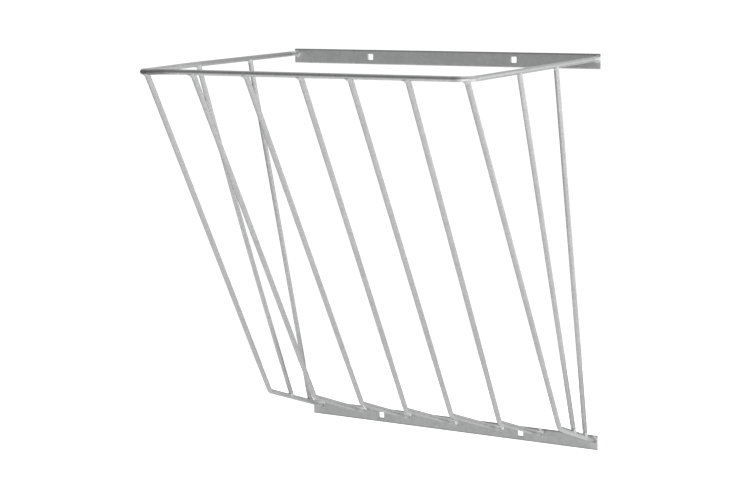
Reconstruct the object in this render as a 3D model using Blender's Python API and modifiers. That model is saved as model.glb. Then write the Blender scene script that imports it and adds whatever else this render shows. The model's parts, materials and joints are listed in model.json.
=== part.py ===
"""Wall-mounted hay manger: a welded basket of round bar on two flat mounting bars.

Metres, +Z up, +X to the right as seen from the front, and +Y into the wall. The
origin is the middle of the upper mounting bar, on its back face, which is the
plane of the wall.

Two flat bars lie against the wall. A U-shaped hoop stands out from the upper
one. Seven rods hang from the hoop's front run, lean back towards the wall, bend
once and run back to the lower bar. Two rods close each side. Every joint is a
weld bead of its own, drawn as a collar round the end of the rod that it holds.
"""

import math

import bmesh
import bpy
from mathutils import Matrix, Vector

# ---- driving dimensions ---------------------------------------------------

BAR_THICKNESS = 0.005
BAR_HEIGHT = 0.0375
BAR_EDGE = 0.0008  # rolled edge of the flat bar
UPPER_BAR_LENGTH = 0.864
LOWER_BAR_LENGTH = 0.828
LOWER_BAR_SHIFT = 0.018  # the lower bar's middle, to the right of the upper's
BAR_SPACING = 0.9555  # between the two bars' centrelines
HOLE_SIDE = 0.0152
HOLE_SPACING = 0.4064

ROD_DIAMETER = 0.0127
SIDE_ROD_DIAMETER = 0.0120

RIM_PROJECTION = 0.708  # hoop's front centreline, from the bars' front face
RIM_HEIGHT = 0.007  # hoop's centreline above the upper bar's centreline
LEFT_CORNER_RADIUS = 0.036
RIGHT_CORNER_RADIUS = 0.040

# The hoop isn't quite true: its left front corner is pushed out and down, over
# this much of the arm and this much of the front run.
CORNER_PUSH = (-0.0024, 0.0, -0.0025)
ARM_PUSHED = 0.270
FRONT_PUSHED = 0.100

BEND_PROJECTION = 0.243  # front rods' bend, from the bars' front face
BEND_RADIUS = 0.020

# Left to right: x where each front rod meets the hoop, then x and z of its bend,
# then x and z of its foot. They were set by hand, so the pitch varies.
FRONT_RODS = (
    (-0.3988, -0.3824, -0.8545, -0.3676, -0.9480),
    (-0.2720, -0.2468, -0.8548, -0.2390, -0.9497),
    (-0.1293, -0.1077, -0.8567, -0.1040, -0.9500),
    (0.0130, 0.0180, -0.8585, 0.0300, -0.9502),
    (0.1370, 0.1447, -0.8580, 0.1638, -0.9508),
    (0.2774, 0.2750, -0.8605, 0.2768, -0.9508),
    (0.4118, 0.4318, -0.8558, 0.4245, -0.9488),
)

# Side rods: which arm, distance of the top and of the foot from the bars' face,
# and how far the rod is bowed outwards at its middle.
SIDE_RODS = (
    ("side_rod_left_front", -1, 0.460, 0.143, 0.0055),
    ("side_rod_left_rear", -1, 0.2308, 0.060, 0.0),
    ("side_rod_right_front", 1, 0.4626, 0.145, 0.0),
    ("side_rod_right_rear", 1, 0.2565, 0.065, 0.0),
)

GAP = 0.0003  # between pieces that touch
SIDES = 16  # round bar's facets
OVERRUN = 0.012

ROD_R = ROD_DIAMETER / 2
SIDE_ROD_R = SIDE_ROD_DIAMETER / 2
FACE_Y = -BAR_THICKNESS
ARM_X = UPPER_BAR_LENGTH / 2 - ROD_R
FRONT_Y = FACE_Y - RIM_PROJECTION


# ---- scene ----------------------------------------------------------------

for old in list(bpy.data.objects):
    bpy.data.objects.remove(old, do_unlink=True)

parts = bpy.data.collections.new("hay_manger")
cutters = bpy.data.collections.new("cutters")
bpy.context.scene.collection.children.link(parts)
bpy.context.scene.collection.children.link(cutters)
cutters.hide_render = True


def metal(name, colour, roughness, metallic):
    made = bpy.data.materials.new(name)
    made.use_nodes = True
    shader = made.node_tree.nodes["Principled BSDF"]
    shader.inputs["Base Color"].default_value = (*colour, 1.0)
    shader.inputs["Roughness"].default_value = roughness
    shader.inputs["Metallic"].default_value = metallic
    made.diffuse_color = (*colour, 1.0)
    return made


ZINC_BAR = metal("galvanised_flat_bar", (0.33, 0.34, 0.35), 0.46, 0.85)
ZINC_ROD = metal("galvanised_round_bar", (0.44, 0.45, 0.46), 0.42, 0.85)
ZINC_WELD = metal("galvanised_weld", (0.56, 0.57, 0.58), 0.50, 0.80)


def as_cutter(obj):
    obj.hide_render = True
    obj.display_type = "WIRE"
    return obj


def cut(obj, *tools):
    for tool in tools:
        modifier = obj.modifiers.new("cut_by_" + tool.name, "BOOLEAN")
        modifier.operation = "DIFFERENCE"
        modifier.solver = "EXACT"
        modifier.object = tool


# ---- paths ----------------------------------------------------------------


def rounded(corners, radii, steps):
    """The corner points joined by straight runs and by an arc of each given radius."""
    corners = [Vector(c) for c in corners]
    path = [corners[0]]
    for before, corner, after, radius in zip(corners, corners[1:], corners[2:], radii):
        into = (corner - before).normalized()
        out = (after - corner).normalized()
        turn = into.angle(out)
        back = radius * math.tan(turn / 2)
        axis = into.cross(out).normalized()
        centre = corner - into * back + axis.cross(into) * radius
        start = corner - into * back - centre
        for step in range(steps + 1):
            path.append(centre + Matrix.Rotation(turn * step / steps, 3, axis) @ start)
    path.append(corners[-1])
    return path


def lengthened(path, at_start, at_end):
    path = [Vector(p) for p in path]
    path[0] = path[0] + (path[0] - path[1]).normalized() * at_start
    path[-1] = path[-1] + (path[-1] - path[-2]).normalized() * at_end
    return path


def bowed(start, end, middle_shift):
    """A straight run, or a shallow bow whose middle is moved by middle_shift."""
    if not middle_shift.length:
        return [start, end]
    steps = 12
    return [
        start.lerp(end, step / steps)
        + middle_shift * (4 * step * (steps - step) / steps**2)
        for step in range(steps + 1)
    ]


def divided(path, step):
    """The same path with points at most a step apart."""
    out = [Vector(path[0])]
    for start, end in zip(path, path[1:]):
        pieces = max(1, round((end - start).length / step))
        out += [start.lerp(end, piece / pieces) for piece in range(1, pieces + 1)]
    return out


def pushed(point):
    """A point of the true hoop, moved as its left front corner is pushed."""
    out = point - Vector((-ARM_X, FRONT_Y, RIM_HEIGHT))
    along = Vector((out.x / FRONT_PUSHED, out.y / ARM_PUSHED)).length
    return point + Vector(CORNER_PUSH) * (0.5 + 0.5 * math.cos(math.pi * min(along, 1)))


def rim_point(x):
    """The hoop's centreline and its direction at x, on the front run or a front corner."""
    radius = LEFT_CORNER_RADIUS if x < 0 else RIGHT_CORNER_RADIUS
    along = abs(x) - (ARM_X - radius)
    if along <= 0:
        return pushed(Vector((x, FRONT_Y, RIM_HEIGHT))), Vector((1, 0, 0))
    turn = math.asin(along / radius)
    y = FRONT_Y + radius * (1 - math.cos(turn))
    side = math.copysign(1, x)
    way = Vector((math.cos(turn), side * math.sin(turn), 0))
    return pushed(Vector((x, y, RIM_HEIGHT))), way


# ---- solids ---------------------------------------------------------------


def round_bar(name, path, radius, collection, material):
    """A round bar along the path: a bevelled curve, made a closed mesh."""
    place = path[0].copy()
    curve = bpy.data.curves.new(name, "CURVE")
    curve.dimensions = "3D"
    curve.bevel_depth = radius
    curve.bevel_resolution = (SIDES - 4) // 2
    curve.use_fill_caps = True
    spline = curve.splines.new("POLY")
    spline.points.add(len(path) - 1)
    for point, where in zip(spline.points, path):
        point.co = (*(where - place), 1)
    guide = bpy.data.objects.new(name + "_guide", curve)
    guide.location = place
    collection.objects.link(guide)
    bpy.context.view_layer.update()
    graph = bpy.context.evaluated_depsgraph_get()
    mesh = bpy.data.meshes.new_from_object(guide.evaluated_get(graph))
    mesh.name = name
    work = bmesh.new()
    work.from_mesh(mesh)
    bmesh.ops.remove_doubles(work, verts=work.verts, dist=0.00001)
    bmesh.ops.recalc_face_normals(work, faces=work.faces)
    work.to_mesh(mesh)
    work.free()
    mesh.materials.clear()
    mesh.materials.append(material)
    mesh.shade_smooth()
    mesh.set_sharp_from_angle(angle=math.radians(40))
    bar = bpy.data.objects.new(name, mesh)
    bar.matrix_world = guide.matrix_world.copy()
    collection.objects.link(bar)
    bpy.data.objects.remove(guide, do_unlink=True)
    return bar


def box(name, centre, size, collection, material=None):
    mesh = bpy.data.meshes.new(name)
    work = bmesh.new()
    bmesh.ops.create_cube(work, size=1.0)
    bmesh.ops.scale(work, vec=size, verts=work.verts)
    work.to_mesh(mesh)
    work.free()
    if material:
        mesh.materials.append(material)
    made = bpy.data.objects.new(name, mesh)
    made.location = centre
    collection.objects.link(made)
    return made


def flat_bar(name, x, z, length):
    """Flat bar with rolled edges and two square punched holes."""
    middle = Vector((x, -BAR_THICKNESS / 2, z))
    bar = box(name, middle, (length, BAR_THICKNESS, BAR_HEIGHT), parts, ZINC_BAR)
    edge = bar.modifiers.new("rolled_edge", "BEVEL")
    edge.width = BAR_EDGE
    edge.segments = 2
    for side, word in ((-1, "left"), (1, "right")):
        where = middle + Vector((side * HOLE_SPACING / 2, 0, 0))
        punch = box(
            f"punch_{name}_{word}",
            where,
            (HOLE_SIDE, 4 * BAR_THICKNESS, HOLE_SIDE),
            cutters,
        )
        cut(bar, as_cutter(punch))
    return bar


def weld(name, centre, along, into, reach, run, lean, tools):
    """A bead round a rod's end: a collar that hollows down onto the rod.

    into is the rod's direction, towards the piece that it meets, and along is
    the bead's long way across it. reach holds the collar's half-width along and
    across, and run its length down the rod and its depth into the joint. lean
    moves the collar along its long way, because a bead is laid from one side.
    The pieces that it joins are cut from it.
    """
    into = into.normalized()
    across = into.cross(along).normalized()
    along = across.cross(into).normalized()
    mesh = bpy.data.meshes.new(name)
    work = bmesh.new()
    bmesh.ops.create_uvsphere(work, u_segments=16, v_segments=10, radius=1.0)
    phase = sum(ord(letter) for letter in name) * 0.7
    for vert in work.verts:
        depth, ring = vert.co.z, Vector(vert.co.xy).length
        turn = math.atan2(vert.co.y, vert.co.x)
        lumps = 1 + 0.05 * math.sin(3 * turn + phase) + 0.03 * math.sin(5 * turn - phase)
        toe = Vector((reach[0] * math.cos(turn), reach[1] * math.sin(turn))) * lumps
        toe.x += lean
        neck = Vector((math.cos(turn), math.sin(turn))) * (ROD_R - 0.0003)
        if depth >= 0:
            flat = toe * ring
        elif depth > -0.9:
            flat = neck.lerp(toe, (1 + depth) ** 1.7)
        else:
            flat = neck * (0.7 if ring > 0.01 else 0.0)
        vert.co = (*flat, depth * run[0 if depth < 0 else 1])
    axes = Matrix((along, across, into)).transposed()
    bmesh.ops.transform(work, matrix=axes.to_4x4(), verts=work.verts)
    bmesh.ops.recalc_face_normals(work, faces=work.faces)
    work.to_mesh(mesh)
    work.free()
    mesh.materials.append(ZINC_WELD)
    mesh.shade_smooth()
    mesh.set_sharp_from_angle(angle=math.radians(50))
    bead = bpy.data.objects.new(name, mesh)
    bead.location = Vector(centre)
    parts.objects.link(bead)
    cut(bead, *tools)
    return bead


# ---- mounting bars --------------------------------------------------------

flat_bar("upper_mounting_bar", 0.0, 0.0, UPPER_BAR_LENGTH)
flat_bar("lower_mounting_bar", LOWER_BAR_SHIFT, -BAR_SPACING, LOWER_BAR_LENGTH)

# Everything that is welded to the bars stops just short of their front face.
wall_side = as_cutter(
    box(
        "wall_side",
        (0, FACE_Y - GAP + 0.05, -BAR_SPACING / 2),
        (1.2, 0.1, BAR_SPACING + 0.3),
        cutters,
    )
)

# ---- hoop rim -------------------------------------------------------------

left_end = Vector((-ARM_X, FACE_Y + 0.003, RIM_HEIGHT))
left_corner = Vector((-ARM_X, FRONT_Y, RIM_HEIGHT))
right_corner = Vector((ARM_X, FRONT_Y, RIM_HEIGHT))
right_end = Vector((ARM_X, FACE_Y + 0.003, RIM_HEIGHT))
true_path = rounded(
    (left_end, left_corner, right_corner, right_end),
    (LEFT_CORNER_RADIUS, RIGHT_CORNER_RADIUS),
    8,
)
moved = []
for start, end in zip(true_path, true_path[1:]):
    near = (start - left_corner).length < 0.3 or (end - left_corner).length < 0.1
    moved += divided([start, end], 0.04 if near else 1.0)[:-1]
rim_path = [pushed(point) for point in [*moved, true_path[-1]]]
rim = round_bar("hoop_rim", rim_path, ROD_R, parts, ZINC_ROD)
cut(rim, wall_side)
rim_clearance = as_cutter(
    round_bar(
        "rim_clearance",
        lengthened(rim_path, OVERRUN, OVERRUN),
        ROD_R + GAP,
        cutters,
        ZINC_ROD,
    )
)

for side, word in ((-1, "left"), (1, "right")):
    weld(
        f"weld_rim_{word}",
        (side * ARM_X, FACE_Y - 0.0005, RIM_HEIGHT),
        Vector((1, 0, 0)),
        Vector((0, 1, 0)),
        (0.0098, 0.0104),
        (0.0068, 0.004),
        0.0,
        (rim_clearance, wall_side),
    )

# ---- front rods -----------------------------------------------------------

front_paths = []
front_clearances = []
for number, (top_x, bend_x, bend_z, foot_x, foot_z) in enumerate(FRONT_RODS, 1):
    top, rim_way = rim_point(top_x)
    bend = Vector((bend_x, FACE_Y - BEND_PROJECTION, bend_z))
    foot = Vector((foot_x, FACE_Y, foot_z))
    path = lengthened(rounded((top, bend, foot), (BEND_RADIUS,), 6), 0, 0.004)
    front_paths.append((top, bend, foot))
    name = f"front_rod_{number}"
    rod = round_bar(name, path, ROD_R, parts, ZINC_ROD)
    cut(rod, rim_clearance, wall_side)
    clearance = as_cutter(
        round_bar(
            name + "_clearance",
            lengthened(path, OVERRUN, OVERRUN),
            ROD_R + GAP,
            cutters,
            ZINC_ROD,
        )
    )
    front_clearances.append(clearance)
    down = (bend - top).normalized()
    weld(
        f"weld_{name}_top",
        top + down * 0.0050,
        rim_way,
        -down,
        (0.0122, 0.0090),
        (0.0080, 0.0055),
        -0.0030 if 1 < number < 7 else -0.0015,
        (rim_clearance, clearance),
    )
    weld(
        f"weld_{name}_foot",
        foot + (bend - foot).normalized() * 0.0005,
        Vector((1, 0, 0)),
        foot - bend,
        (0.0105, 0.0105),
        (0.0085, 0.0050),
        0.0012,
        (clearance, wall_side),
    )

# ---- side rods ------------------------------------------------------------

for name, side, top_out, foot_out, bow in SIDE_RODS:
    end_rod = 0 if side < 0 else len(FRONT_RODS) - 1
    _, bend, end = front_paths[end_rod]
    top = Vector((side * ARM_X, FACE_Y - top_out, RIM_HEIGHT))
    foot = bend.lerp(end, 1 - foot_out / BEND_PROJECTION)
    path = bowed(top, foot, Vector((side * bow, 0, 0)))
    rod = round_bar(name, path, SIDE_ROD_R, parts, ZINC_ROD)
    cut(rod, rim_clearance, front_clearances[end_rod])
    clearance = as_cutter(
        round_bar(
            name + "_clearance",
            lengthened(path, OVERRUN, OVERRUN),
            SIDE_ROD_R + GAP,
            cutters,
            ZINC_ROD,
        )
    )
    down = (path[1] - path[0]).normalized()
    weld(
        f"weld_{name}_top",
        top + down * 0.0050,
        Vector((0, 1, 0)),
        -down,
        (0.0112, 0.0086),
        (0.0075, 0.0055),
        -0.0012,
        (rim_clearance, clearance),
    )
    down = (path[-1] - path[-2]).normalized()
    weld(
        f"weld_{name}_foot",
        foot - down * 0.0050,
        end - bend,
        down,
        (0.0105, 0.0086),
        (0.0070, 0.0055),
        -0.0008,
        (front_clearances[end_rod], clearance),
    )

bpy.context.view_layer.update()
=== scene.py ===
"""The looks of the wall-mounted hay manger: hot-dip galvanised bar, rod and weld.

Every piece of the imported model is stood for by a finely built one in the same
place. The round bars are swept with coped ends, the flat bars have rolled edges
and punched holes, and each weld is the fillet that blends its rod into the piece
that the rod meets, with the ripples of the bead.
"""

import json
import math

import bpy
import numpy as np
from mathutils import Matrix, Vector

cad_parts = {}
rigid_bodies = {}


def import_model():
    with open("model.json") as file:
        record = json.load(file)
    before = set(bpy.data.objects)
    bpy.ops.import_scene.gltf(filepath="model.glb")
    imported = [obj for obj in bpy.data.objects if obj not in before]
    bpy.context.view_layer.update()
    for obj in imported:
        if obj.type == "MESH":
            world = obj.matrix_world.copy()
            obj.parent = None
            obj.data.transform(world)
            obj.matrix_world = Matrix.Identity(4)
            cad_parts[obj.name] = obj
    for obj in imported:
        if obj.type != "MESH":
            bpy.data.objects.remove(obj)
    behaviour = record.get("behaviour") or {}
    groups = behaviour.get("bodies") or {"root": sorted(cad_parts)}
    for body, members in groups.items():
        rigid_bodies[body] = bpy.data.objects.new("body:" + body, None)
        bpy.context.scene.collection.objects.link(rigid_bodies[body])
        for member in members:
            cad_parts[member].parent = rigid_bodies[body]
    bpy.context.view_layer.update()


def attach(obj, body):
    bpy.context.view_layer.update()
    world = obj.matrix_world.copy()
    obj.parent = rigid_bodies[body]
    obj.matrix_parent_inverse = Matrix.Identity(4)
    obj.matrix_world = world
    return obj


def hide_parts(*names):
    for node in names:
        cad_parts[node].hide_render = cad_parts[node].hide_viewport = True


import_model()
scene = bpy.context.scene

# ---- the object's dimensions, in metres -------------------------------------

BAR_THICKNESS = 0.005
BAR_HEIGHT = 0.0375
UPPER_BAR_LENGTH = 0.864
LOWER_BAR_LENGTH = 0.828
LOWER_BAR_SHIFT = 0.018
BAR_SPACING = 0.9555
HOLE_SIDE = 0.0152
HOLE_SPACING = 0.4064
ROD_R = 0.0127 / 2
SIDE_ROD_R = 0.0120 / 2
RIM_PROJECTION = 0.708
RIM_HEIGHT = 0.007
LEFT_CORNER_RADIUS = 0.036
RIGHT_CORNER_RADIUS = 0.040
CORNER_PUSH = (-0.0024, 0.0, -0.0025)
ARM_PUSHED = 0.270
FRONT_PUSHED = 0.100
BEND_PROJECTION = 0.243
BEND_RADIUS = 0.020
FRONT_RODS = (
    (-0.3988, -0.3824, -0.8545, -0.3676, -0.9480),
    (-0.2720, -0.2468, -0.8548, -0.2390, -0.9497),
    (-0.1293, -0.1077, -0.8567, -0.1040, -0.9500),
    (0.0130, 0.0180, -0.8585, 0.0300, -0.9502),
    (0.1370, 0.1447, -0.8580, 0.1638, -0.9508),
    (0.2774, 0.2750, -0.8605, 0.2768, -0.9508),
    (0.4118, 0.4318, -0.8558, 0.4245, -0.9488),
)
SIDE_RODS = (
    ("side_rod_left_front", -1, 0.460, 0.143, 0.0055),
    ("side_rod_left_rear", -1, 0.2308, 0.060, 0.0),
    ("side_rod_right_front", 1, 0.4626, 0.145, 0.0),
    ("side_rod_right_rear", 1, 0.2565, 0.065, 0.0),
)
GAP = 0.0003
FACE_Y = -BAR_THICKNESS
ARM_X = UPPER_BAR_LENGTH / 2 - ROD_R
FRONT_Y = FACE_Y - RIM_PROJECTION

SIDES = 40  # round a rod
PITCH = 0.0026  # along a rod

# ---- numbers ------------------------------------------------------------------


def unit(v):
    v = np.asarray(v, float)
    return v / np.linalg.norm(v, axis=-1, keepdims=True)


def lattice(cell):
    """A repeatable value from -1 to 1 for each whole-number cell."""
    x, y, z = (cell[..., i].astype(np.int64) for i in range(3))
    n = (x * 374761393 + y * 668265263 + z * 2147483647) & 0xFFFFFFFF
    n = ((n ^ (n >> 13)) * 1274126177) & 0xFFFFFFFF
    n = ((n ^ (n >> 16)) * 2246822519) & 0xFFFFFFFF
    return ((n ^ (n >> 15)) & 0xFFFF) / 32767.5 - 1.0


def noise(points, scale, seed=0):
    """Smooth value noise, one value a point, with features about scale metres wide."""
    p = np.asarray(points, float) / scale + seed * 17.31
    low = np.floor(p)
    f = p - low
    f = f * f * (3 - 2 * f)
    total = 0.0
    for corner in range(8):
        step = np.array([corner & 1, corner >> 1 & 1, corner >> 2 & 1])
        weight = np.prod(np.where(step, f, 1 - f), axis=-1)
        total = total + weight * lattice(low + step)
    return total


# ---- paths ----------------------------------------------------------------------


def rounded(corners, radii, steps):
    """The corner points joined by straight runs and by an arc of each given radius."""
    corners = [Vector(c) for c in corners]
    path = [corners[0]]
    for before, corner, after, radius in zip(corners, corners[1:], corners[2:], radii):
        into = (corner - before).normalized()
        out = (after - corner).normalized()
        turn = into.angle(out)
        back = radius * math.tan(turn / 2)
        axis = into.cross(out).normalized()
        centre = corner - into * back + axis.cross(into) * radius
        start = corner - into * back - centre
        for step in range(steps + 1):
            path.append(centre + Matrix.Rotation(turn * step / steps, 3, axis) @ start)
    path.append(corners[-1])
    return path


def divided(path, step):
    """The same path as an array of points at most about a step apart."""
    path = [Vector(p) for p in path]
    out = [path[0]]
    for start, end in zip(path, path[1:]):
        pieces = max(1, round((end - start).length / step))
        out += [start.lerp(end, piece / pieces) for piece in range(1, pieces + 1)]
    return np.array([tuple(p) for p in out])


def pushed(point):
    """A point of the true hoop, moved as its left front corner is pushed."""
    out = point - Vector((-ARM_X, FRONT_Y, RIM_HEIGHT))
    along = Vector((out.x / FRONT_PUSHED, out.y / ARM_PUSHED)).length
    return point + Vector(CORNER_PUSH) * (0.5 + 0.5 * math.cos(math.pi * min(along, 1)))


def rim_point(x):
    """The hoop's centreline and its direction at x, on the front run or a front corner."""
    radius = LEFT_CORNER_RADIUS if x < 0 else RIGHT_CORNER_RADIUS
    along = abs(x) - (ARM_X - radius)
    if along <= 0:
        return pushed(Vector((x, FRONT_Y, RIM_HEIGHT))), Vector((1, 0, 0))
    turn = math.asin(along / radius)
    y = FRONT_Y + radius * (1 - math.cos(turn))
    side = math.copysign(1, x)
    way = Vector((math.cos(turn), side * math.sin(turn), 0))
    return pushed(Vector((x, y, RIM_HEIGHT))), way


def bowed(start, end, middle_shift, steps=60):
    return [
        start.lerp(end, step / steps)
        + middle_shift * (4 * step * (steps - step) / steps**2)
        for step in range(steps + 1)
    ]


def near_path(path, radius):
    """How far points lie outside a round bar along the path."""
    path = np.asarray(path, float)
    start, run = path[:-1], np.diff(path, axis=0)
    run2 = (run**2).sum(1)

    def outside(points):
        shape = np.shape(points)[:-1]
        p = np.reshape(points, (-1, 3))
        low, high = p.min(0) - 0.012, p.max(0) + 0.012
        top, bottom = np.maximum(start, start + run), np.minimum(start, start + run)
        keep = ((top > low) & (bottom < high)).all(1)
        if not keep.any():
            keep = np.ones(len(run), bool)
        best = np.full(len(p), np.inf)
        for a, b, c in zip(start[keep], run[keep], run2[keep]):
            off = p - a
            t = np.clip(off @ b / c, 0, 1)
            off -= t[:, None] * b
            best = np.minimum(best, np.einsum("ij,ij->i", off, off))
        return (np.sqrt(best) - radius).reshape(shape)

    return outside


def before_wall(points):
    """How far points lie in front of the flat bars' face."""
    return FACE_Y - np.asarray(points)[..., 1]


def off_bar(x, z, length, corner=0.0016):
    """How far points lie outside a flat bar."""
    half = np.array((length, BAR_THICKNESS, BAR_HEIGHT)) / 2 - corner

    def outside(points):
        away = np.abs(np.asarray(points) - (x, -BAR_THICKNESS / 2, z)) - half
        beyond = np.linalg.norm(np.maximum(away, 0), axis=-1)
        return beyond + np.minimum(away.max(-1), 0) - corner

    return outside


def reach_to(points, way, outside, most=0.036):
    """How far along way each point travels until it's no longer outside."""
    steps = np.linspace(0, most, 49)
    there = points[None] + steps[:, None, None] * way
    hit = outside(there) <= 0
    first = np.where(hit.any(0), hit.argmax(0), len(steps) - 1)
    high = steps[first]
    low = steps[np.maximum(first - 1, 0)]
    for _ in range(14):
        middle = (low + high) / 2
        inside = outside(points + middle[:, None] * way) <= 0
        high = np.where(inside, middle, high)
        low = np.where(inside, low, middle)
    return high


# ---- meshes ---------------------------------------------------------------------


def closed(name, points, faces, material, sharp=40):
    """A closed smooth mesh, turned so that its faces point out.

    faces is a list of whole-number arrays, each with one face a row.
    """
    points = np.asarray(points, float)
    volume = 0.0
    for block in faces:
        first = points[block[:, 0]]
        for i in range(1, block.shape[1] - 1):
            pair = np.cross(points[block[:, i]], points[block[:, i + 1]])
            volume += (first * pair).sum()
    if volume < 0:
        faces = [block[:, ::-1] for block in faces]
    sizes = np.concatenate([np.full(len(block), block.shape[1]) for block in faces])
    corners = np.concatenate([block.ravel() for block in faces])
    mesh = bpy.data.meshes.new(name)
    mesh.vertices.add(len(points))
    mesh.vertices.foreach_set("co", points.astype(np.float32).ravel())
    mesh.loops.add(len(corners))
    mesh.loops.foreach_set("vertex_index", corners.astype(np.int32))
    mesh.polygons.add(len(sizes))
    starts = np.concatenate([[0], np.cumsum(sizes)[:-1]])
    mesh.polygons.foreach_set("loop_start", starts.astype(np.int32))
    mesh.update(calc_edges=True)
    mesh.validate()
    mesh.materials.append(material)
    mesh.shade_smooth()
    mesh.set_sharp_from_angle(angle=math.radians(sharp))
    made = bpy.data.objects.new(name, mesh)
    scene.collection.objects.link(made)
    return made


def quads(first, second, count):
    """Faces between two rings of count points, given each ring's first index."""
    i = np.arange(count)
    j = (i + 1) % count
    return np.column_stack([first + i, first + j, second + j, second + i])


def fan(ring, tip, count, turned=False):
    """Triangles from a ring of count points to a tip."""
    i = np.arange(count)
    j = (i + 1) % count
    if turned:
        i, j = j, i
    return np.column_stack([ring + i, ring + j, np.full(count, tip)])


def frames_along(path):
    """Tangent and two normals at each point, with no twist."""
    tangent = unit(np.gradient(path, axis=0))
    tangent[0] = unit(path[1] - path[0])
    tangent[-1] = unit(path[-1] - path[-2])
    normal = np.cross(tangent[0], (0.31, 0.57, 0.76))
    one = []
    for t in tangent:
        normal = normal - t * np.dot(normal, t)
        normal = normal / np.linalg.norm(normal)
        one.append(normal)
    one = np.array(one)
    return tangent, one, np.cross(tangent, one)


def set_shade_tone_or_matt(piece, amount, name="painted_light_and_tone"):
    """Sets how much darker the zinc is painted (lighter below nought), for painted light and shade or a weld's
    own tone, or how matt it is, by one number or by one a point.
    """
    mesh = piece.data
    layer = mesh.attributes.new(name, "FLOAT", "POINT")
    values = np.broadcast_to(np.asarray(amount, np.float32), (len(mesh.vertices),))
    layer.data.foreach_set("value", np.ascontiguousarray(values))
    return piece


def points_of(piece):
    co = np.zeros(len(piece.data.vertices) * 3, np.float32)
    piece.data.vertices.foreach_get("co", co)
    return co.reshape(-1, 3).astype(float)


def normals_of(piece):
    way = np.zeros(len(piece.data.vertices) * 3, np.float32)
    piece.data.vertices.foreach_get("normal", way)
    return way.reshape(-1, 3).astype(float)


def bump_at(values, low, high, soft):
    """One between low and high, falling to nought over soft on each side."""
    up = np.clip((values - low) / soft + 1, 0, 1)
    down = np.clip((high - values) / soft + 1, 0, 1)
    part = up * down
    return part * part * (3 - 2 * part)


def coating(points, seed):
    """How much the zinc stands proud: slow waves, and a few small runs and pimples."""
    waves = 0.00005 * noise(points, 0.021, seed) + 0.00003 * noise(points, 0.008, seed + 1)
    pimple = np.clip(noise(points, 0.0047, seed + 2) - 0.72, 0, 1) * 0.0004
    return waves + pimple - 0.00011


def round_bar(name, path, radius, material, seed, start_at=None, end_at=None):
    """A round bar along the path. An end is coped to what start_at or end_at measures."""
    path = np.asarray(path, float)
    tangent, one, two = frames_along(path)
    angle = np.linspace(0, 2 * math.pi, SIDES, endpoint=False)
    out = (
        one[:, None] * np.cos(angle)[None, :, None]
        + two[:, None] * np.sin(angle)[None, :, None]
    )
    gone = np.concatenate([[0], np.cumsum(np.linalg.norm(np.diff(path, axis=0), axis=1))])
    rings = path[:, None] + out * radius
    rings = rings + out * coating(rings, seed)[..., None]
    caps = []
    for at, outside in ((0, start_at), (-1, end_at)):
        way = -tangent[0] if at == 0 else tangent[-1]
        depth = gone if at == 0 else gone[-1] - gone
        keep = int(np.argmax(depth > 0.016)) if at == 0 else int(np.nonzero(depth > 0.016)[0][-1])
        ends = []
        for share in (1.0, 0.97, 0.8, 0.55, 0.28, 0.0):
            flat = path[keep] + (rings[keep] - path[keep]) * share
            if outside is None:
                go = np.full(SIDES, depth[keep])
            else:
                go = reach_to(flat, way, outside)
            if share == 1.0:
                go = go - 0.0003  # a broken edge
            ends.append(flat + go[:, None] * way)
        last = ends[0]
        between = range(0, keep) if at == 0 else range(keep + 1, len(path))
        for i in between:
            part = depth[i] / depth[keep]
            rings[i] = last * (1 - part) + rings[keep] * part
        caps.append(ends[1:])
    blocks, total = [rings.reshape(-1, 3)], rings.shape[0] * SIDES
    faces = [quads(i * SIDES, (i + 1) * SIDES, SIDES) for i in range(len(path) - 1)]
    for at, ends in zip((0, len(path) - 1), caps):
        before = at * SIDES
        for ring in ends[:-1]:
            blocks.append(ring)
            faces.append(quads(before, total, SIDES) if at else quads(total, before, SIDES))
            before, total = total, total + SIDES
        blocks.append(ends[-1].mean(0)[None])
        faces.append(fan(before, total, SIDES, not at))
        total += 1
    return closed(name, np.concatenate(blocks), faces, material)


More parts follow.
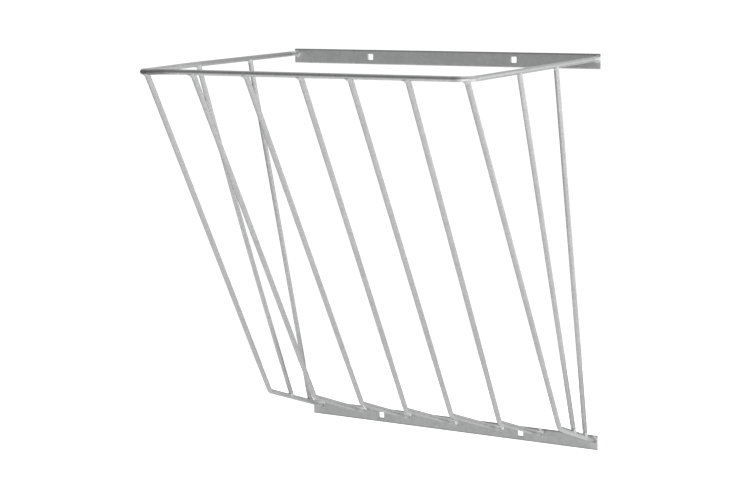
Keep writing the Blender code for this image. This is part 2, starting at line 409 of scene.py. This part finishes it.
def flat_bar(name, x, z, length, bright, edges, material, seed):
    """Flat bar with rolled edges and sheared ends, punched from the front.

    bright is how much brighter it is painted at the left and at the right; edges is how much darker it is
    painted along its top edge there (lighter below nought), and all along its low one.
    """
    half, thick, corner = BAR_HEIGHT / 2, BAR_THICKNESS / 2, 0.0019
    profile = []
    for cy, cz, start in (
        (-thick + corner, -half + corner, 180),
        (thick - corner, -half + corner, 270),
        (thick - corner, half - corner, 0),
        (-thick + corner, half - corner, 90),
    ):
        for step in range(6):
            turn = math.radians(start + 18 * step)
            profile.append((cy + corner * math.cos(turn), cz + corner * math.sin(turn)))
    full = []
    for (ay, az), (by, bz) in zip(profile, profile[1:] + profile[:1]):
        pieces = max(1, round(math.hypot(by - ay, bz - az) / 0.0032))
        full += [(ay + (by - ay) * i / pieces, az + (bz - az) * i / pieces) for i in range(pieces)]
    full = np.array(full)
    count = len(full)
    edge = 0.0007
    stations = [(-length / 2 + edge * (1 - math.cos(math.radians(a))), edge * (1 - math.sin(math.radians(a)))) for a in (0, 30, 60, 90)]
    inner = np.linspace(-length / 2 + edge, length / 2 - edge, round(length / 0.0032) + 1)[1:-1]
    stations += [(v, 0.0) for v in inner]
    stations += [(-s, inset) for s, inset in stations[3::-1]]
    points = []
    for along, inset in stations:
        shrink = 1 - inset / np.array([thick, half])
        ring = np.column_stack([np.full(count, along), full * shrink])
        points.append(ring)
    points = np.array(points)
    faces = [quads(i * count, (i + 1) * count, count) for i in range(len(stations) - 1)]
    faces.append(np.arange(count)[None, ::-1])
    faces.append((len(stations) - 1) * count + np.arange(count)[None])
    points = points.reshape(-1, 3) + (x, -thick, z)
    bar = closed(name, points, faces, material, 30)
    for side in (-1, 1):
        punch = square_punch((x + side * HOLE_SPACING / 2, -thick, z), seed + side)
        cut = bar.modifiers.new("punched", "BOOLEAN")
        cut.operation = "DIFFERENCE"
        cut.solver = "EXACT"
        cut.object = punch
    bpy.context.view_layer.update()
    graph = bpy.context.evaluated_depsgraph_get()
    mesh = bpy.data.meshes.new_from_object(bar.evaluated_get(graph))
    bar.modifiers.clear()
    bar.data = mesh
    for tool in [o for o in bpy.data.objects if o.name.startswith("punch")]:
        bpy.data.objects.remove(tool)
    co = np.zeros(len(mesh.vertices) * 3, np.float32)
    mesh.vertices.foreach_get("co", co)
    co = co.reshape(-1, 3).astype(float)
    front = np.clip((-thick - co[:, 1]) / thick, -1, 1)
    co[:, 1] -= front * (0.00003 * noise(co * (0.4, 1, 1), 0.012, seed) - 0.00003)
    mesh.vertices.foreach_set("co", co.astype(np.float32).ravel())
    mesh.shade_smooth()
    mesh.set_sharp_from_angle(angle=math.radians(24))
    local = np.abs(co - (x, -thick, z))
    near_edge = np.minimum(half - local[:, 2], length / 2 - local[:, 0])
    # painted shade: the colour is darkened within 2.6 mm of the long edges and of the ends
    layer = mesh.attributes.new("painted_edge_shade", "FLOAT", "POINT")
    layer.data.foreach_set("value", np.clip(1 - near_edge / 0.0026, 0, 1).astype(np.float32))
    # Painted light and shade: lighter from end to end as bright gives, painted shade along the top edge (painted
    # lighter on the lower bar's left part) and along the low edge, and painted light near each end.
    from_end = length / 2 - local[:, 0]
    top_edge = bump_at(co[:, 2] - z, half - 0.0026, half + 0.01, 0.0020)
    across = (co[:, 0] - x) / length + 0.5
    brighter = bright[0] + (bright[1] - bright[0]) * across
    low_edge = bump_at(z - co[:, 2], half - 0.0022, half + 0.01, 0.0016)
    top_edge_shade = edges[0] + (edges[1] - edges[0]) * bump_at(across, 0.62, 2, 0.2)
    set_shade_tone_or_matt(bar, top_edge_shade * top_edge + edges[2] * low_edge - brighter - 0.18 * np.exp(-((from_end / 0.022) ** 2)))
    return bar


def square_punch(middle, seed):
    """A square cutter with round corners, wider at both faces where the metal rolls over."""
    half = HOLE_SIDE / 2
    radius = 0.0016
    ring = []
    for cx, cz, start in ((1, 1, 0), (-1, 1, 90), (-1, -1, 180), (1, -1, 270)):
        for step in range(7):
            turn = math.radians(start + 15 * step)
            ring.append(
                (
                    cx * (half - radius) + radius * math.cos(turn),
                    cz * (half - radius) + radius * math.sin(turn),
                )
            )
    ring = np.array(ring)
    outward = unit(ring - np.sign(ring) * (half - radius))
    thick = BAR_THICKNESS / 2
    levels = [
        (-thick - 0.002, 0.0026),
        (-thick, 0.0006),
        (-thick + 0.00012, 0.0003),
        (-thick + 0.0004, 0.00008),
        (-thick + 0.0009, 0.0),
        (thick - 0.0004, 0.0),
        (thick - 0.00015, 0.00006),
        (thick, 0.00025),
        (thick + 0.002, 0.0022),
    ]
    count = len(ring)
    points = []
    for y, grow in levels:
        flat = ring + outward * grow
        points += [(middle[0] + px, middle[1] + y, middle[2] + pz) for px, pz in flat]
    faces = [quads(i * count, (i + 1) * count, count) for i in range(len(levels) - 1)]
    faces.append(np.arange(count)[None, ::-1])
    faces.append((len(levels) - 1) * count + np.arange(count)[None])
    punch = closed(f"punch_{seed}", points, faces, ZINC_BAR)
    punch.hide_render = True
    return punch


def weld(name, joint, into, past, rod_radius, outside, most, least, heavy, narrow, material, seed, crown=0.0004):
    """The fillet between a rod's end and what it meets, as one closed lump.

    joint is a point on the rod's axis, just short of the other piece, and into is
    the rod's direction towards it. The rod is cut off square, past beyond the
    joint, or ends there in a dome when past is None. The fillet reaches most from
    the corner on the heavy side and least on the other.
    Where it's not proud of the rod or of the other piece, the lump lies just
    under their surface.
    """
    into = unit(into)
    heavy = np.asarray(heavy, float)
    side = unit(heavy - into * np.dot(heavy, into))
    across = np.cross(into, side)
    turns, tilts = 80, 60
    turn = np.linspace(0, 2 * math.pi, turns, endpoint=False)
    share = np.linspace(0, 1, tilts + 1)[1:-1]
    tilt = math.pi * (share + 0.10 * np.sin(2 * math.pi * share))
    turn, tilt = np.meshgrid(turn, tilt)
    way = (
        side * (np.sin(tilt) * np.cos(turn))[..., None]
        + across * (np.sin(tilt) * np.sin(turn))[..., None]
        - into * np.cos(tilt)[..., None]
    )
    lump = 1 + 0.10 * np.sin(2 * turn + seed) + 0.07 * np.sin(3 * turn - 2.3 * seed)
    size = least + (most - least) * (0.5 + 0.5 * np.cos(turn)) ** narrow * lump
    ripple = np.cos(turn * (rod_radius + 0.003) * 2 * math.pi / 0.0021 + 0.9 * np.sin(2 * turn + seed))
    sunk = 0.00016
    bulge = size / most
    back = max(0.006, most + 0.002)  # how far the lump goes along the rod
    ahead = back if past is not None else min(back, 0.0066)
    box = np.array([rod_radius + most + 0.0015, rod_radius + 0.008])

    def blended(distance):
        p = joint + way * distance[..., None]
        rel = p - joint
        depth = rel @ into
        along = np.minimum(depth, 0) if past is None else depth
        a = np.linalg.norm(rel - along[..., None] * into, axis=-1) - rod_radius + sunk
        if past is not None:
            a = np.maximum(a, depth - past + sunk)
        b = outside(p) + sunk
        h = np.clip(size - np.abs(a - b), 0, None) / size
        f = np.minimum(a, b) - h * h * size / 4
        f = f - bulge * (crown * h * h + 0.00007 * ripple * h * h)
        f = np.maximum(f, p[..., 1] + 0.0004)  # nothing comes through to the wall
        local = np.stack([rel @ side / box[0], rel @ across / box[1]], -1)
        lengthwise = depth / np.where(depth > 0, ahead, back)
        return np.maximum(f, (np.hypot(np.linalg.norm(local, axis=-1), lengthwise) - 1) * 0.004)

    steps = np.linspace(0.0, 0.026, 40)
    high = np.full(turn.shape, steps[-1])
    low = np.zeros(turn.shape)
    found = np.zeros(turn.shape, bool)
    for before, step in zip(steps, steps[1:]):
        hit = (blended(np.full(turn.shape, step)) > 0) & ~found
        high = np.where(hit, step, high)
        low = np.where(hit, before, low)
        found |= hit
    for _ in range(9):
        middle = (low + high) / 2
        inside = blended(middle) <= 0
        low = np.where(inside, middle, low)
        high = np.where(inside, high, middle)
    shell = joint + way * high[..., None]
    shell = shell + way * (0.00005 * noise(shell, 0.0022, seed))[..., None]
    total = shell.shape[0] * turns
    points = np.concatenate([shell.reshape(-1, 3), shell[0].mean(0)[None], shell[-1].mean(0)[None]])
    faces = [quads(i * turns, (i + 1) * turns, turns) for i in range(tilts - 2)]
    faces.append(fan(0, total, turns, True))
    faces.append(fan((tilts - 2) * turns, total + 1, turns))
    return closed(name, points, faces, material, 60)


# ---- materials ---------------------------------------------------------------------


def nodes_of(name):
    made = bpy.data.materials.new(name)
    made.use_nodes = True
    return made, made.node_tree.nodes, made.node_tree.links


def zinc(name, dark, light, roughness, spangle, streaks=(1, 1, 1), bump=0.35):
    """Galvanised steel: crystals of zinc, cloudy patches, fine grain, a painted shade along a flat bar's edges,
    and painted light and shade set per point.
    """
    made, nodes, links = nodes_of(name)
    shader = nodes["Principled BSDF"]
    shader.inputs["Metallic"].default_value = 1.0

    def node(kind, **values):
        new = nodes.new(kind)
        for key, value in values.items():
            setattr(new, key, value)
        return new

    def math_node(operation, first, second=None, third=None, clamp=False):
        new = node("ShaderNodeMath", operation=operation, use_clamp=clamp)
        for socket, value in zip(new.inputs, (first, second, third)):
            if value is None:
                continue
            if isinstance(value, (int, float)):
                socket.default_value = value
            else:
                links.new(value, socket)
        return new.outputs[0]

    place = node("ShaderNodeTexCoord").outputs["Object"]
    stretch = node("ShaderNodeMapping", vector_type="POINT")
    stretch.inputs["Scale"].default_value = streaks
    links.new(place, stretch.inputs["Vector"])

    def cloud(scale, detail, rough=0.55, source=None, distortion=0.0):
        new = node("ShaderNodeTexNoise")
        new.inputs["Scale"].default_value = scale
        new.inputs["Detail"].default_value = detail
        new.inputs["Roughness"].default_value = rough
        new.inputs["Distortion"].default_value = distortion
        links.new(source or place, new.inputs["Vector"])
        return new.outputs["Fac"]

    def crystals(scale):
        warp = node("ShaderNodeVectorMath", operation="MULTIPLY_ADD")
        wobble = node("ShaderNodeTexNoise")
        wobble.inputs["Scale"].default_value = scale * 1.6
        wobble.inputs["Detail"].default_value = 2.0
        links.new(place, wobble.inputs["Vector"])
        links.new(wobble.outputs["Color"], warp.inputs[0])
        warp.inputs[1].default_value = (0.5 / scale,) * 3
        links.new(place, warp.inputs[2])
        cells = node("ShaderNodeTexVoronoi", feature="F1")
        cells.inputs["Scale"].default_value = scale
        links.new(warp.outputs[0], cells.inputs["Vector"])
        tone = node("ShaderNodeSeparateColor")
        links.new(cells.outputs["Color"], tone.inputs[0])
        return tone.outputs[0], tone.outputs[1], cells.outputs["Distance"]

    big_tone, big_rough, big_edge = crystals(spangle)
    small_tone, small_rough, _ = crystals(spangle * 2.7)
    patches = cloud(13.0, 5.0, 0.6, distortion=0.4)
    streaky = cloud(60.0, 6.0, 0.6, source=stretch.outputs["Vector"])
    grain = cloud(1400.0, 3.0, 0.6)
    painted_edge_shade = node("ShaderNodeAttribute", attribute_name="painted_edge_shade").outputs["Fac"]
    # per-point painted light and shade, and a weld's own tone, darken or lighten the base colour
    painted_light_and_tone = node("ShaderNodeAttribute", attribute_name="painted_light_and_tone").outputs["Fac"]

    tone = math_node("MULTIPLY", big_tone, 0.26)
    tone = math_node("MULTIPLY_ADD", small_tone, 0.16, tone)
    tone = math_node("MULTIPLY_ADD", patches, 0.60, tone)
    tone = math_node("MULTIPLY_ADD", streaky, 0.34, tone)
    tone = math_node("MULTIPLY_ADD", grain, 0.10, tone)
    # painted shade along a flat bar's edges
    tone = math_node("MULTIPLY_ADD", painted_edge_shade, -0.30, tone)
    ramp = node("ShaderNodeValToRGB")
    ramp.color_ramp.elements[0].position = 0.45
    ramp.color_ramp.elements[0].color = (*dark, 1)
    ramp.color_ramp.elements[1].position = 1.02
    ramp.color_ramp.elements[1].color = (*light, 1)
    links.new(tone, ramp.inputs["Fac"])
    faded = node("ShaderNodeVectorMath", operation="SCALE")
    links.new(ramp.outputs["Color"], faded.inputs[0])
    links.new(math_node("SUBTRACT", 1.0, painted_light_and_tone), faded.inputs["Scale"])
    links.new(faded.outputs["Vector"], shader.inputs["Base Color"])

    shine = math_node("MULTIPLY_ADD", big_rough, 0.07, roughness - 0.10)
    shine = math_node("MULTIPLY_ADD", small_rough, 0.05, shine)
    shine = math_node("MULTIPLY_ADD", patches, 0.10, shine)
    shine = math_node("MULTIPLY_ADD", grain, 0.05, shine)
    matt = node("ShaderNodeAttribute", attribute_name="matt").outputs["Fac"]
    shine = math_node("MULTIPLY_ADD", matt, 0.30, shine)
    links.new(shine, shader.inputs["Roughness"])

    height = math_node("MULTIPLY", big_edge, 0.35 * spangle / 140)
    height = math_node("MULTIPLY_ADD", grain, 0.16, height)
    height = math_node("MULTIPLY_ADD", streaky, 0.55, height)
    height = math_node("MULTIPLY_ADD", cloud(230.0, 4.0, 0.55), 0.5, height)
    lifted = node("ShaderNodeBump")
    lifted.inputs["Strength"].default_value = bump
    lifted.inputs["Distance"].default_value = 0.0004
    links.new(height, lifted.inputs["Height"])
    links.new(lifted.outputs["Normal"], shader.inputs["Normal"])
    return made


ZINC_BAR = zinc(
    "zinc_flat_bar", (0.310, 0.312, 0.314), (0.375, 0.377, 0.379), 0.42, 110.0, (0.10, 1.0, 2.0)
)
ZINC_ROD = zinc(
    "zinc_round_bar", (0.345, 0.347, 0.349), (0.425, 0.427, 0.429), 0.37, 150.0, (1, 1, 0.35)
)
ZINC_WELD = zinc("zinc_weld", (0.42, 0.422, 0.424), (0.53, 0.532, 0.534), 0.38, 420.0, bump=0.4)

# ---- the pieces ----------------------------------------------------------------------


def settle(piece, node):
    """The piece stands for the CAD node of that name and rides with its body."""
    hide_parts(node)
    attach(piece, "root")
    return piece


for name, x, z, length, bright, edges, seed in (
    ("upper_mounting_bar", 0.0, 0.0, UPPER_BAR_LENGTH, (0.45, 0.14), (0.4, 0.4, 0.0), 31),
    ("lower_mounting_bar", LOWER_BAR_SHIFT, -BAR_SPACING, LOWER_BAR_LENGTH, (0, 0), (-0.3, 0.2, 0.35), 47),
):
    bar = flat_bar("galvanised_" + name, x, z, length, bright, edges, ZINC_BAR, seed)
    settle(bar, name)

left_end = Vector((-ARM_X, FACE_Y - GAP, RIM_HEIGHT))
left_corner = Vector((-ARM_X, FRONT_Y, RIM_HEIGHT))
right_corner = Vector((ARM_X, FRONT_Y, RIM_HEIGHT))
right_end = Vector((ARM_X, FACE_Y - GAP, RIM_HEIGHT))
rim_path = rounded(
    (left_end, left_corner, right_corner, right_end),
    (LEFT_CORNER_RADIUS, RIGHT_CORNER_RADIUS),
    24,
)
rim_path = np.array([tuple(pushed(Vector(p))) for p in divided(rim_path, PITCH)])
at_wall = lambda points: before_wall(points) - GAP
rim = round_bar("galvanised_hoop_rim", rim_path, ROD_R, ZINC_ROD, 3, at_wall, at_wall)
spots = points_of(rim)
on_left = bump_at(spots[:, 0], -1, -0.40, 0.03)
in_front = bump_at(spots[:, 1], -1, FRONT_Y + 0.012, 0.02)
low_side = bump_at(spots[:, 2], -1, RIM_HEIGHT - 0.004, 0.004)
# Darker at the front left corner. The rest is painted light and shade: painted shade along the rear half of the
# left arm, on the front run's underside near the left corner and just short of the right corner; painted
# highlights under the left corner and on the right corner; and both ends painted brighter near the wall, the
# left one more.
set_shade_tone_or_matt(
    rim,
    0.22 * on_left * bump_at(spots[:, 1], -0.36, -0.05, 0.20)
    + 0.26 * in_front * bump_at(spots[:, 0], -1, -0.37, 0.05)
    + 0.30 * low_side * in_front * bump_at(spots[:, 0], -0.405, -0.34, 0.03)
    + 0.16 * in_front * bump_at(spots[:, 0], 0.388, 0.402, 0.008)
    - 0.45 * low_side * bump_at(spots[:, 0], -1, -0.412, 0.012) * bump_at(spots[:, 1], -1, -0.68, 0.02)
    - 0.35 * bump_at(spots[:, 1], -1, -0.697, 0.01) * bump_at(spots[:, 0], 0.405, 1, 0.012)
    - (0.40 + 0.40 * on_left) * bump_at(spots[:, 1], -0.018, 1, 0.03),
)
settle(rim, "hoop_rim")
rim_line = rim_path[::3]
at_rim = near_path(rim_line, ROD_R + GAP)
on_rim = near_path(rim_line, ROD_R)

on_upper = off_bar(0.0, 0.0, UPPER_BAR_LENGTH)
on_lower = off_bar(LOWER_BAR_SHIFT, -BAR_SPACING, LOWER_BAR_LENGTH)

for side, word in ((-1, "left"), (1, "right")):
    settle(
        weld(
            f"bead_rim_{word}",
            np.array((side * ARM_X, FACE_Y - 0.001, RIM_HEIGHT)),
            (0, 1, 0),
            0.003,
            ROD_R,
            on_upper,
            0.0064,
            0.0030,
            (-side, 0, -0.3),
            1.0,
            ZINC_WELD,
            11 + side,
        ),
        f"weld_rim_{word}",
    )

LIGHT_SIDE = np.array((0.87, 0.48, 0.0))  # the side facing the light from the right, for painted light and shade
BENEATH = np.array((0.60, -0.40, -0.69))
fronts = []
for number, (top_x, bend_x, bend_z, foot_x, foot_z) in enumerate(FRONT_RODS, 1):
    top, rim_way = rim_point(top_x)
    bend = Vector((bend_x, FACE_Y - BEND_PROJECTION, bend_z))
    foot = Vector((foot_x, FACE_Y, foot_z))
    fronts.append((bend, foot))
    path = divided(rounded((top, bend, foot), (BEND_RADIUS,), 16), PITCH)
    name = f"front_rod_{number}"
    rod = round_bar("galvanised_" + name, path, ROD_R, ZINC_ROD, 60 + 5 * number, at_rim, at_wall)
    spots, ways = points_of(rod), normals_of(rod)
    on_run = bump_at(spots[:, 1], bend.y + 0.015, 1, 0.02)
    low_down = bump_at(spots[:, 2], -2, -0.60, 0.40)
    # Painted light and shade: the upright part is painted brighter on the side facing right and darker lower
    # down; the run to the wall is painted brighter on top (darker on rod 7) and brighter near the wall (rod 7
    # only a little), and its underside near the foot a little brighter (darker on rod 7).
    upright = 0.055 - 0.055 * (ways @ LIGHT_SIDE) + 0.05 * low_down
    at_end, under = (0.50, 0.05) if number < 7 else (0.05, -0.30)
    lit_top = -0.26 * ways[:, 2] if number < 7 else 0.07 + 0.28 * np.clip(ways[:, 2], 0, 1)
    lower_run_shade = 0.10 + lit_top - at_end * bump_at(spots[:, 1], -0.020, 1, 0.032)
    beneath = np.clip(ways @ BENEATH, 0, 1) * bump_at(spots[:, 1], -0.016, 1, 0.020)
    set_shade_tone_or_matt(rod, upright * (1 - on_run) + lower_run_shade * on_run - under * beneath)
    set_shade_tone_or_matt(rod, bump_at(spots[:, 1], -0.03, 1, 0.05), "matt")
    settle(rod, name)
    down = (bend - top).normalized()
    bead = set_shade_tone_or_matt(
        weld(
            f"bead_{name}_top",
            np.array(top + down * (ROD_R + 0.0006)),
            -down,
            None,
            ROD_R,
            on_rim,
            0.0105 if 1 < number < 7 else 0.0075,
            0.0026,
            -rim_way,
            1.6,
            ZINC_WELD,
            number,
        ),
        0.14,
    )
    settle(bead, f"weld_{name}_top")
    inward = (foot - bend).normalized()
    heavy = unit({4: (0.7, 0, 0.7), 5: (0.35, 0, 0.9)}.get(number, (-0.12, 0, 1)))
    bead = weld(
        f"bead_{name}_foot",
        np.array(foot - inward * 0.0012),
        inward,
        0.0038,
        ROD_R,
        on_lower,
        0.0090 if number < 7 else 0.0060,
        0.0014,
        heavy,
        2.2,
        ZINC_WELD,
        20 + number,
        0.0013 if number < 7 else 0.0006,
    )
    off = points_of(bead) - np.array(foot)
    # painted shade over the foot bead, with a painted highlight where it stands out on its heavy side
    glint = {2: 0.85, 3: 0.85, 4: 0.45}.get(number, 0.60)
    set_shade_tone_or_matt(bead, 0.24 - glint * bump_at(off @ heavy, 0.0046, 1, 0.0046))
    set_shade_tone_or_matt(bead, 0.4, "matt")
    settle(bead, f"weld_{name}_foot")

for index, (name, side, top_out, foot_out, bow) in enumerate(SIDE_RODS):
    end_rod = 0 if side < 0 else len(FRONT_RODS) - 1
    bend, end = fronts[end_rod]
    top = Vector((side * ARM_X, FACE_Y - top_out, RIM_HEIGHT))
    foot = bend.lerp(end, 1 - foot_out / BEND_PROJECTION)
    path = divided(bowed(top, foot, Vector((side * bow, 0, 0))), PITCH)
    run = [tuple(bend + (bend - end) * 0.02), tuple(end)]
    rod = round_bar(
        "galvanised_" + name,
        path,
        SIDE_ROD_R,
        ZINC_ROD,
        110 + 7 * index,
        at_rim,
        near_path(run, ROD_R + GAP),
    )
    spots, ways = points_of(rod), normals_of(rod)
    at_foot = bump_at(spots[:, 2], -2, foot.z + 0.03, 0.05)
    at_top = bump_at(spots[:, 2], -0.09, 1, 0.10)
    low_down = bump_at(spots[:, 2], -2, foot.z + 0.12, 0.12)
    sideways = np.abs(ways @ (0.92, 0.39, 0))
    middle = np.exp(-((sideways / 0.25) ** 2)) * (ways[:, 1] < 0)
    # Painted light and shade: darker on the side facing right and brighter near the top; lower down painted
    # darker towards its sides; at the foot painted brighter, most in the middle of the front and on the side
    # facing left.
    tone = 0.02 + 0.06 * (ways @ LIGHT_SIDE) - 0.10 * at_top
    tone += (0.04 + 0.42 * sideways**2) * low_down - (0.26 + 0.06 * middle) * at_foot
    leftward = np.clip(ways @ (-0.92, -0.39, 0) + 0.3, 0, 1)
    tone -= 0.55 * leftward * bump_at(spots[:, 2], -2, foot.z + 0.012, 0.018)
    set_shade_tone_or_matt(rod, tone)
    set_shade_tone_or_matt(rod, at_foot, "matt")
    settle(rod, name)
    down = unit(path[1] - path[0])
    bead = set_shade_tone_or_matt(
        weld(
            f"bead_{name}_top",
            path[0] + down * (ROD_R + 0.0006),
            -down,
            None,
            SIDE_ROD_R,
            on_rim,
            0.0068,
            0.0028,
            (0, -1, 0),
            1.3,
            ZINC_WELD,
            40 + index,
        ),
        0.10,
    )
    settle(bead, f"weld_{name}_top")
    down = unit(path[-1] - path[-2])
    bead = weld(
        f"bead_{name}_foot",
        path[-1] - down * (ROD_R + 0.0006),
        down,
        None,
        SIDE_ROD_R,
        near_path(run, ROD_R),
        0.0130 if name == "side_rod_left_rear" else 0.0070,
        0.0026,
        (0.3, 0.9, 0) if name == "side_rod_left_rear" else (0.35, -0.93, 0),
        1.3,
        ZINC_WELD,
        50 + index,
        0.0006,
    )
    ways = normals_of(bead)
    # painted light: the foot bead is painted brighter where it faces up and left, the left rear one darker
    # overall
    lit = 0.6 * np.clip(ways[:, 2], 0, 1) + 0.5 * np.clip(ways @ (-0.92, -0.39, 0), 0, 1)
    set_shade_tone_or_matt(bead, 0.42 - 0.3 * lit if name == "side_rod_left_rear" else 0.10 - lit)
    set_shade_tone_or_matt(bead, 0.7, "matt")
    settle(bead, f"weld_{name}_foot")

# ---- camera ---------------------------------------------------------------------------

yaw, pitch, roll = 0.5052, 0.1708, -0.0143
ca, sa, cp, sp = math.cos(yaw), math.sin(yaw), math.cos(pitch), math.sin(pitch)
forward = Vector((-sa * cp, ca * cp, -sp))
right = Vector((ca, sa, 0))
up = Vector((-sa * sp, ca * sp, cp))
level = math.cos(roll) * right + math.sin(roll) * up
over = -math.sin(roll) * right + math.cos(roll) * up
camera = bpy.data.cameras.new("camera")
camera.sensor_fit = "HORIZONTAL"
camera.sensor_width = 36
camera.lens = 1746.5442 / 750 * 36
camera.clip_end = 100
eye = bpy.data.objects.new("camera", camera)
pose = Matrix((level, over, -forward)).transposed().to_4x4()
pose.translation = Vector((2.0021978, -3.9829102, 0.2768302))
eye.matrix_world = pose
scene.collection.objects.link(eye)
scene.camera = eye

# ---- studio ---------------------------------------------------------------------------

scene.view_settings.view_transform = "Standard"
scene.view_settings.look = "None"


def disc(name, radius, z, material):
    """A round floor, as rings of quads round a small middle."""
    count = 96
    turn = np.linspace(0, 2 * math.pi, count, endpoint=False)
    sizes = [radius * share for share in (0.05, 0.2, 0.4, 0.6, 0.8, 1.0)]
    points = [np.column_stack([s * np.cos(turn), s * np.sin(turn), np.full(count, z)]) for s in sizes]
    faces = [tuple(range(count))]
    for i in range(len(sizes) - 1):
        faces += [tuple(int(v) for v in row) for row in quads(i * count, (i + 1) * count, count)]
    mesh = bpy.data.meshes.new(name)
    mesh.from_pydata([tuple(p) for p in np.concatenate(points)], [], faces)
    mesh.update()
    mesh.materials.append(material)
    made = bpy.data.objects.new(name, mesh)
    scene.collection.objects.link(made)
    return made


pale, pale_nodes, pale_links = nodes_of("pale_floor")
floor_shader = pale_nodes["Principled BSDF"]
floor_shader.inputs["Base Color"].default_value = (0.86, 0.86, 0.86, 1)
floor_shader.inputs["Roughness"].default_value = 0.9
floor_shader.inputs["Specular IOR Level"].default_value = 0.0
floor_shader.inputs["Emission Color"].default_value = (1, 1, 1, 1)
floor_shader.inputs["Emission Strength"].default_value = 0.72
floor = disc("floor", 2.6, -1.32, pale)
floor.location = (0.0, -0.4, 0.0)

world = bpy.data.worlds.new("studio")
world.use_nodes = True
scene.world = world
wn, wl = world.node_tree.nodes, world.node_tree.links
wn.clear()
direction = wn.new("ShaderNodeTexCoord").outputs["Generated"]
glow = None
for toward, strength, tightness in (
    ((1.0, 0.0, -0.5), 1.05, 6.0),
    ((0.45, 0.9, 0.0), 0.52, 3.0),
    ((0.15, -0.8, -0.6), 0.80, 4.0),
    ((0.0, 0.35, 1.0), 1.15, 6.0),
    ((0.0, 0.0, -1.0), 0.25, 3.0),
):
    dot = wn.new("ShaderNodeVectorMath")
    dot.operation = "DOT_PRODUCT"
    dot.inputs[1].default_value = Vector(toward).normalized()
    wl.new(direction, dot.inputs[0])
    half = wn.new("ShaderNodeMath")
    half.operation = "MULTIPLY_ADD"
    half.inputs[1].default_value = 0.5
    half.inputs[2].default_value = 0.5
    wl.new(dot.outputs["Value"], half.inputs[0])
    power = wn.new("ShaderNodeMath")
    power.operation = "POWER"
    power.inputs[1].default_value = tightness
    wl.new(half.outputs[0], power.inputs[0])
    add = wn.new("ShaderNodeMath")
    add.operation = "MULTIPLY_ADD"
    add.inputs[1].default_value = strength
    add.inputs[2].default_value = 0.14
    wl.new(power.outputs[0], add.inputs[0])
    if glow is not None:
        wl.new(glow, add.inputs[2])
    glow = add.outputs[0]
room = wn.new("ShaderNodeBackground")
room.inputs["Color"].default_value = (1, 1, 1, 1)
wl.new(glow, room.inputs["Strength"])
backdrop = wn.new("ShaderNodeBackground")
backdrop.inputs["Color"].default_value = (1, 1, 1, 1)
backdrop.inputs["Strength"].default_value = 1.05
sight = wn.new("ShaderNodeLightPath")
mix = wn.new("ShaderNodeMixShader")
wl.new(sight.outputs["Is Camera Ray"], mix.inputs["Fac"])
wl.new(room.outputs[0], mix.inputs[1])
wl.new(backdrop.outputs[0], mix.inputs[2])
result = wn.new("ShaderNodeOutputWorld")
wl.new(mix.outputs[0], result.inputs["Surface"])


def softbox(name, place, aim, size, power):
    lamp = bpy.data.lights.new(name, "AREA")
    lamp.shape = "RECTANGLE"
    lamp.size, lamp.size_y = size
    lamp.energy = power
    made = bpy.data.objects.new(name, lamp)
    made.location = place
    made.rotation_euler = (Vector(aim) - Vector(place)).to_track_quat("-Z", "Y").to_euler()
    scene.collection.objects.link(made)
    return made


key = softbox("key_right", (1.75, 1.0, -0.1), (0.3, -0.3, -0.3), (1.1, 1.8), 9)
key.visible_camera = False
fill = softbox("fill_low", (2.0, -2.7, -0.95), (0.0, -0.3, -0.6), (2.2, 0.9), 10)
fill.visible_camera = False
